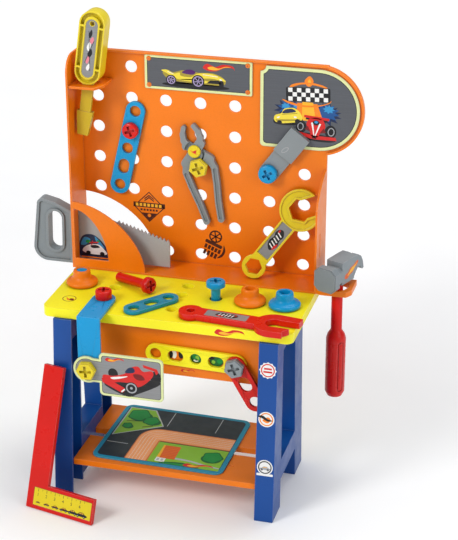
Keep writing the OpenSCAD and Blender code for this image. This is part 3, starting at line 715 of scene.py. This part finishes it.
def small_sign_picture():
    """The sign that hangs on the bracket, drawn about its bolt: a racing car on a grey ground."""
    face = Face("small_sign_art", "small_sign", (0, -1, 0), (1, 0, 0))
    bolt_lo, bolt_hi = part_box("sign_bolt")
    bolt = (bolt_lo + bolt_hi) / 2
    flat_place(face, bolt.x, bolt.y, bolt.z)
    def outline(inset):
        """The sign's outline drawn inwards: a round tag about the bolt, and a plate at its right."""
        tag_r = 22.4 - inset
        tag = [(tag_r * math.cos(math.radians(a)), tag_r * math.sin(math.radians(a)))
               for a in range(64, 297, 8)]
        x0, y0, x1, y1, r = 20 + inset, -41 + inset, 123 - inset, 31 - inset, 7 - inset * 0.5
        plate = rounded(x0, y0, x1, y1, r)
        half = len(plate) // 2
        return tag + [(x0, -20 + inset)] + plate[half:] + plate[:half] + [(x0, 20 - inset)]
    hole = circle(0, 0, 8.2)
    face.put("cream", [[outline(0.7), outline(3.6)]])
    face.put("black", [[outline(3.6), outline(4.3)]])
    face.put("brushed_light", [[outline(4.3), hole]])
    open_racer(face, 72, -6, 98, "red", 2, 2)
    flame(face, 30, 19, 30, 2)


def mat_picture():
    """The play mat: a road corner, a running track round a lawn, a small house and trees."""
    face = Face("mat_art", "play_mat", (0, 0, 1), (1, 0, 0), slot="printed_mat")
    face.put("teal", [[rounded(-108.4, -89.4, 108.4, 89.4, 13.5), rounded(-102, -83, 102, 83, 8)]])
    face.put("navy", [[rounded(-102, -83, 102, 83, 8), rounded(-101, -82, 101, 82, 7.4)]])
    face.put("asphalt", [rounded(-101, -82, 101, 82, 7.4)])
    face.put("line", [[(-100, 81), (-54.5, 81), (-26, 31.6), (-100, -17)]], 2)
    face.put("grass", [[(-98, 79), (-56, 79), (-28.6, 32.6), (-98, -14)]], 3)
    def tree(x, y, r):
        """A wavy crown seen from above."""
        radii = [r * (1 + 0.08 * (-1) ** k) for k in range(10)]
        return smooth([(x + a * math.cos(k * math.pi / 5), y + a * math.sin(k * math.pi / 5))
                       for k, a in enumerate(radii)])
    crowns = ((-77, 58, 19), (-52, 44, 14), (-85.3, 19.2, 9), (80.6, -43, 17))
    shadows = ((-73, 53, 20), (-48, 40, 14), (-83, 16, 9), (80, -48, 17))
    face.put("leaf_dark", [oval(x, y, r, r * 0.8) for x, y, r in shadows], 4)
    face.put("leaf_dark", [tree(x, y, r) for x, y, r in crowns], 5)
    face.put("leaf", [tree(x, y, r - 2.2) for x, y, r in crowns], 6)
    face.put("brown", [stroke((-92, 34), (-70, 38), 1.8), stroke((-60, 20), (-44, 28), 2.2)], 4)
    face.put("line", [rect(-21.6, 34, -20.4, 81), rect(61.2, 34, 62.4, 81), rect(-100, -39, -64, -37.8)], 2)
    def bend(offset):
        """A line along the track, offset from its outer side."""
        r = 33 - offset if offset < 30 else 3
        x, y = -55 + offset, 22 - offset
        arc = [(x + r - r * math.cos(math.radians(a)), y - r + r * math.sin(math.radians(a)))
               for a in range(0, 91, 10)]
        return [(x, -82)] + arc + [(101, y)]
    def lane(near, far):
        """A band of the track between two offsets."""
        return bend(near) + bend(far)[::-1]
    face.put("clay_dark", [lane(0, 38)], 2)
    face.put("clay", [lane(1.6, 35.6)], 3)
    face.put("white", [lane(k, k + 0.5) for k in (7, 12.5, 18, 23.5, 29)], 4)
    face.put("grass", [[(-17, -82), (-17, -18), (101, -18), (101, -82)]], 2)
    face.put("leaf_dark", [smooth([(4, -81.5), (12, -76), (40, -72), (60, -76), (66, -81.5)])], 3)
    face.put("leaf", [smooth([(8, -81.5), (20, -78), (44, -76), (54, -79), (58, -81.5)])], 4)
    face.put("line", [smooth([(24, -60), (50, -62), (76, -68), (98, -72), (98, -75), (74, -71.5), (48, -66),
                              (24, -64.5)])], 3)
    face.put("white", [[(-6, -65), (10, -65), (10, -79), (-6, -77)]], 3)
    face.put("line", [rect(-4, -75, 0, -68), rect(3, -75, 7, -68)], 4)
    face.put("amber", [[(-6, -65), (-6, -26), (-1, -26), (-1, -65)]], 3)
    face.put("roof", [[(-1, -66), (-3, -26), (23, -26), (24, -66)]], 4)
    face.put("orange", [stroke((-0.4, y), (23.4, y), 0.7) for y in range(-61, -27, 5)], 5)
    flame(face, 42, -81, 48, 5, 2)


def board_emblems():
    """Two small emblems printed on the board, a round one on the worktop and a flame on its skirt."""
    board_lo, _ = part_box("back_board")
    banner_lo, banner_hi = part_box("banner_sign")
    middle = (banner_lo.x + banner_hi.x) / 2
    face = Face("board_emblem", "back_board", (0, -1, 0), (1, 0, 0), slot="orange_plastic")
    place = Matrix.Translation((middle - 0.0855, banner_hi.y, board_lo.z + 0.094))
    face.matrix = place @ face.matrix.to_3x3().to_4x4()
    def diamond(r):
        """A square that stands on its corner."""
        return [(0, r), (r, 0), (0, -r), (-r, 0)]
    face.put("brown", [[diamond(26.5), diamond(24.2)]])
    face.put("brown", [rect(-27, -1.5, 27, 7)])
    face.put("amber", [rect(-23 + 6.6 * k, 0.2, -18.6 + 6.6 * k, 5.3) for k in range(7)], 2)
    face.put("brown", [rect(-15 + 5.2 * k, -7.4, -11.6 + 5.2 * k, -4) for k in range(6)])
    face.put("brown", [[(-13, -11), (13, -11), (0, -24)]])
    face.put("orange", [circle(0, -15, 3)], 2)
    face.put("brown", [moved(chevron(), 0, 12), moved(chevron(), 0, 15.5)])
    crest = Face("crest", "back_board", (0, -1, 0), (1, 0, 0), slot="orange_plastic")
    place = Matrix.Translation((middle + 0.0255, banner_hi.y, board_lo.z + 0.039))
    crest.matrix = place @ crest.matrix.to_3x3().to_4x4()
    crest.put("brown", [[circle(-4, 14, 11), circle(-4, 14, 8.4)]], 1, turn=-22)
    crest.put("brown", [moved(rect(-9, -1.1, 9, 1.1), -4, 14, 1, k) for k in (0, 60, 120)], 1, turn=-22)
    crest.put("brown", [rounded(-17, -2.5, 13, 3.5, 2)], 1, turn=-22)
    crest.put("brown", [rect(-15 + 6 * k, -12, -10.6 + 6 * k, -4.4) for k in range(5)], 1, turn=-22)
    crest.put("brown", [rect(-13 + 6.4 * k, -23, -8.6 + 6.4 * k, -14) for k in range(4)], 1, turn=-22)
    crest.put("brown", [smooth([(14, 6), (20, -2), (19, -14), (12, -20), (16, -10), (16, -2)])], 1, turn=-22)
    top = Face("worktop_emblem", "worktop", (0, 0, 1), (1, 0, 0), slot="yellow_plastic")
    top_lo, top_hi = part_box("worktop")
    nut_lo, nut_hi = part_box("left_flanged_nut")
    flat_place(top, (nut_lo.x + nut_hi.x) / 2, nut_lo.y - 0.0345, top_hi.z)
    top.put("dark_red", [[circle(0, 0, 11), circle(0, 0, 9.8)]])
    top.put("orange", [smooth([(-6, 4), (-1, -6), (8, -4), (6, 2), (0, -1)])])
    top.put("dark_red", [smooth([(2, 1), (8, -1), (7, -6), (2, -5)])], 2)
    streak = Face("worktop_streak", "worktop", (0, -1, 0), (1, 0, 0), slot="yellow_plastic")
    wrench_lo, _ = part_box("open_end_wrench")
    flat_place(streak, wrench_lo.x + 0.087, top_lo.y, (top_lo.z + top_hi.z) / 2)
    flame(streak, -23, -4.4, 46, 1)


def chevron():
    """A thick arrowhead that points up."""
    return [(-8, -3), (0, 3), (8, -3), (8, -0.8), (0, 5.4), (-8, -0.8)]


def leg_badges():
    """Three round badges on the front of the right front leg."""
    leg_lo, leg_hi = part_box("right_side_frame")
    face_master = Face("badge", "right_side_frame", (0, -1, 0.05), (1, 0, 0), slot="blue_plastic")
    middle = (leg_lo.x + leg_hi.x) / 2
    looks = (("white", "red", 255), ("white", "orange", 174), ("white", "black", 93))
    for number, (ground, mark, height) in enumerate(looks):
        face = Face(f"badge_{number}", "right_side_frame", (0, -1, 0.05), (1, 0, 0), slot="blue_plastic")
        flat_place(face, middle, face_master.matrix.translation.y, height * MM)
        rim = circle(0, 0, 12.6, 48)
        if number == 0:
            radii = [12.8 + 0.8 * math.cos(k * math.pi) for k in range(24)]
            rim = [(r * math.cos(k * math.pi / 12), r * math.sin(k * math.pi / 12))
                   for k, r in enumerate(radii)]
        face.put(ground, [rim])
        face.put(mark, [[circle(0, 0, 10.8), circle(0, 0, 9)]], 2)
        if number == 0:
            face.put("red", [rect(-6, 1.2, 6, 4), rect(-7, -4, 7, -1.2)], 2)
        elif number == 1:
            face.put("black", [smooth([(-14, 4), (-6, 6), (2, 1), (10, -1), (2, -3), (-6, 1)])], 3)
            face.put("orange", [smooth([(-6, -2), (2, 4), (7, 0), (2, -6)])], 2)
        else:
            side_car(face, 0, -2, 17, "steel", 3)
            face.put("white", [rounded(-13, -14.5, 13, -10.5, 1)], 2)


def apron_mark():
    """A flame on the apron, and the patches of colour that show through the yellow strip's holes."""
    lo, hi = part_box("apron")
    face = Face("apron_mark", "apron", (0, -1, 0), (1, 0, 0), slot="orange_plastic")
    flat_place(face, (lo.x + hi.x) / 2 + 0.019, lo.y, lo.z + 0.0105)
    flame(face, 0, -3, 22, 1)
    strip_lo, strip_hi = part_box("yellow_strip")
    x, z = (strip_lo.x + strip_hi.x) / 2, (strip_lo.z + strip_hi.z) / 2
    plate = flat_place(Face("apron_plate", "apron", (0, -1, 0), (1, 0, 0), slot="orange_plastic"), x, lo.y, z)
    plate.put("leaf_dark", [oval(0, 0, 10, 9), oval(32, -2, 11, 9)], 1)
    plate.put("leaf", [smooth([(-7, 3), (0, 6), (6, -1), (-1, -5)]),
                       smooth([(38, 3), (42, -2), (36, -6), (33, -1)])], 2)
    plate.put("grass", [smooth([(-2, 1), (3, 4), (4, -4)]), oval(27, -4, 3, 3)], 3)
    plate.put("black", [oval(-25, 2, 4, 7), oval(24, 3, 5, 3), oval(-41, 0, 3, 6)], 2)
    plate.put("white", [oval(-36, 1, 4, 7), oval(-1, -5, 4, 2)], 2)


def tool_badge(face, x, y, scale):
    """A small generic badge on a tool's strip: a dark winged shape with pale bars and a spark."""
    place = placer(x, y, scale)
    face.put("black", [place(smooth([(-17, -1), (-12, 5), (-5, 7), (3, 5), (8, 7), (15, 5), (17, -1),
                                     (10, -6), (2, -5), (-6, -7.5), (-13, -5)]))], 2)
    face.put("white", [place(stroke((-12 + 5 * k, -3.6), (-9.5 + 5 * k, 3.8), 1.7)) for k in range(5)], 3)
    face.put("red", [place(smooth([(-15, -4), (-9, -3), (-3, -6), (-10, -6.6)])),
                     place(oval(13, 3.4, 2.4, 1.3))], 3)


def tool_stickers():
    """Printed strips and marks on the hand tools, the pliers' rivet, the stepped plate and the saw."""
    handle = Face("driver_sticker", "screwdriver_handle", (0, -1, 0), (0, 0, 1), "tool_yellow", (0.8, 2.5))
    handle.put("brushed_light", [[rounded(-47.2, -9.6, 47.2, 9.6, 9.5), circle(40.5, 0, 4.4)]])
    flecks = ((24, 1, 7, 3), (14, -2, 6, 3.4), (4, 2, 8, 3), (-7, -1, 7, 3.8), (-18, 2, 7, 3), (-30, 0, 6, 3))
    for number, (u, v, a, b) in enumerate(flecks):
        fleck = smooth([(u - a, v), (u - a / 3, v + b), (u + a / 2, v + b / 3),
                        (u + a, v - b / 2), (u, v - b)])
        handle.put(("black", "pink", "white")[number % 3], [fleck], 2)
    handle.put("black", [stroke((-36, -4), (28, 4), 0.9), stroke((-24, 6), (14, -6), 0.8)], 3)
    wrench = Face("wrench_sticker", "combination_wrench", (0, -1, 0.2), (0.585, 0, 0.811),
                  "tool_yellow", (1.5, 4))
    wrench.put("brushed_light", [rounded(-64, -10, 0.6, 10, 1.5)])
    tool_badge(wrench, -30, 0, 1.15)
    red = Face("spanner_sticker", "open_end_wrench", (0, 0, 1), (1, -0.09, 0), "red_plastic")
    red.put("brushed_light", [rounded(-52, -10, 16, 10, 2)])
    tool_badge(red, -18, 0, 1.05)
    head = Face("hammer_mark", "hammer_head", (0.94, -0.342, 0), (0.342, 0.94, 0), "grey_plastic")
    head.put("roof", [smooth([(-25, -10), (-23, -4), (-15, -2), (-9, 3), (1, 5), (10, 9), (15, 8), (12, 3),
                              (4, -1), (-2, -6), (-10, -8), (-17, -12)])])
    head.put("amber", [smooth([(-17, -8), (-12, -3), (-4, 2), (5, 4), (11, 7), (7, 2),
                               (0, -3), (-6, -5)])], 2)
    rivet = Face("rivet_mark", "pliers_rivet", (0, -1, 0), (1, 0, 0), "tool_yellow")
    rivet.put("orange", [smooth([(-6, 3), (0, 1), (6, 4), (2, -1), (6, -4), (0, -3)])])
    rivet.put("red", [smooth([(-2, 0), (4, 3), (3, -2)])], 2)
    plate = Face("plate_mark", "stepped_plate", (0, -1, 0), (0.8, 0, 0.6), "grey_plastic")
    plate.put("steel", [[oval(-12, 0, 7, 3.4), oval(-12, 0, 5.6, 2.2)]])
    saw = Face("saw_sticker", "saw_blade", (0, -1, 0), (1, 0, 0), "grey_plastic")
    place = placer(-44, -19)
    saw.put("navy", [place(smooth([(-27, -18), (-27, 4), (-20, 18), (-4, 21), (10, 12), (22, -4), (27, -20),
                                   (0, -22)]))])
    saw.put("sky", [place(smooth([(-25, 2), (-18, 15), (-8, 12), (-16, 2)])),
                    place(smooth([(0, 18), (10, 8), (16, -2), (4, 6)]))], 2)
    saw.put("leaf", [place(oval(-12, 8, 4, 3)), place(oval(6, 10, 3, 2))], 3)
    saw.put("white", [place(smooth([(-22, -9), (-18, -2), (-8, 3), (6, 4), (16, -4), (20, -12), (4, -14),
                                    (-14, -13)]))], 4)
    saw.put("black", [place(smooth([(-8, 1), (2, 3), (8, -1), (-4, -3)])), place(oval(-12, -12, 4, 3.6)),
                      place(oval(12, -12, 4, 3.6)), place(rect(-22, -16, 20, -14))], 5)
    saw.put("red", [place(stroke((-10, 6), (6, 8), 2)), place(stroke((-4, 10), (-6, 2), 1.6))], 6)
    saw.put("orange", [place(stroke((-24, -19.5), (22, -19.5), 2))], 3)


def ruler():
    """The scale on the try square: ticks, the numbers 1 to 6 and a row of small cars."""
    face = Face("ruler", "square_scale", (0, -1, 0.3), (1, 0, 0), slot="tool_yellow")
    lo_x, step = -45.5, 15.6
    face.put("black", [rect(lo_x + step * k - 0.35, 8.6, lo_x + step * k + 0.35, 13.4) for k in range(6)], 1)
    face.put("brown", [rect(lo_x + step * (k + 0.5) - 0.25, 10.6, lo_x + step * (k + 0.5) + 0.25, 13.4)
                       for k in range(-1, 6)], 1)
    for k in range(6):
        numeral(face, str(k + 1), lo_x + step * k, 1.4, 7)
    for k in range(6):
        side_car(face, -44 + 16.1 * k, -8.8, 7.5 + 2.6 * k, "brown" if k < 4 else "black", 1)


def numeral(face, text, x, y, height):
    """A printed numeral, made from Blender's own font and turned into a mesh."""
    curve = bpy.data.curves.new("numeral", "FONT")
    curve.body = text
    curve.size = height * MM
    curve.align_x = "CENTER"
    curve.extrude = INK / 2
    letter = bpy.data.objects.new("numeral", curve)
    bpy.context.scene.collection.objects.link(letter)
    bpy.context.view_layer.update()
    mesh = bpy.data.meshes.new_from_object(letter.evaluated_get(bpy.context.evaluated_depsgraph_get()))
    bpy.data.objects.remove(letter)
    mesh.transform(face.matrix @ Matrix.Translation((x * MM, y * MM, INK)))
    mesh.materials.clear()
    mesh.materials.append(ink("black"))
    piece = bpy.data.objects.new(f"{face.name}_numeral_{text}", mesh)
    bpy.context.scene.collection.objects.link(piece)
    return face.own(piece)


# ---------- the CAD nodes' finish ----------

def finish_node(name, node, slot):
    """Gives a CAD node its plastic, and rounds its sharp edges a little."""
    node.data.materials.clear()
    node.data.materials.append(OWN_PLASTICS.get(name, PLASTICS[slot]))
    weld = node.modifiers.new("weld", "WELD")
    weld.merge_threshold = WELD
    rounding = node.modifiers.new("rounding", "BEVEL")
    rounding.width = ROUNDING
    rounding.segments = 2
    rounding.limit_method = "ANGLE"
    rounding.angle_limit = math.radians(40)
    rounding.harden_normals = False


# ---------- building the scene ----------

make_camera()
make_lights()
make_floor()
slots = {part["node"]: part["material_slot"] for part in frame["record"]["subparts"]}
for node_name, node_object in nodes.items():
    finish_node(node_name, node_object, slots[node_name])
banner_picture()
round_picture()
small_sign_picture()
mat_picture()
board_emblems()
leg_badges()
apron_mark()
tool_stickers()
ruler()
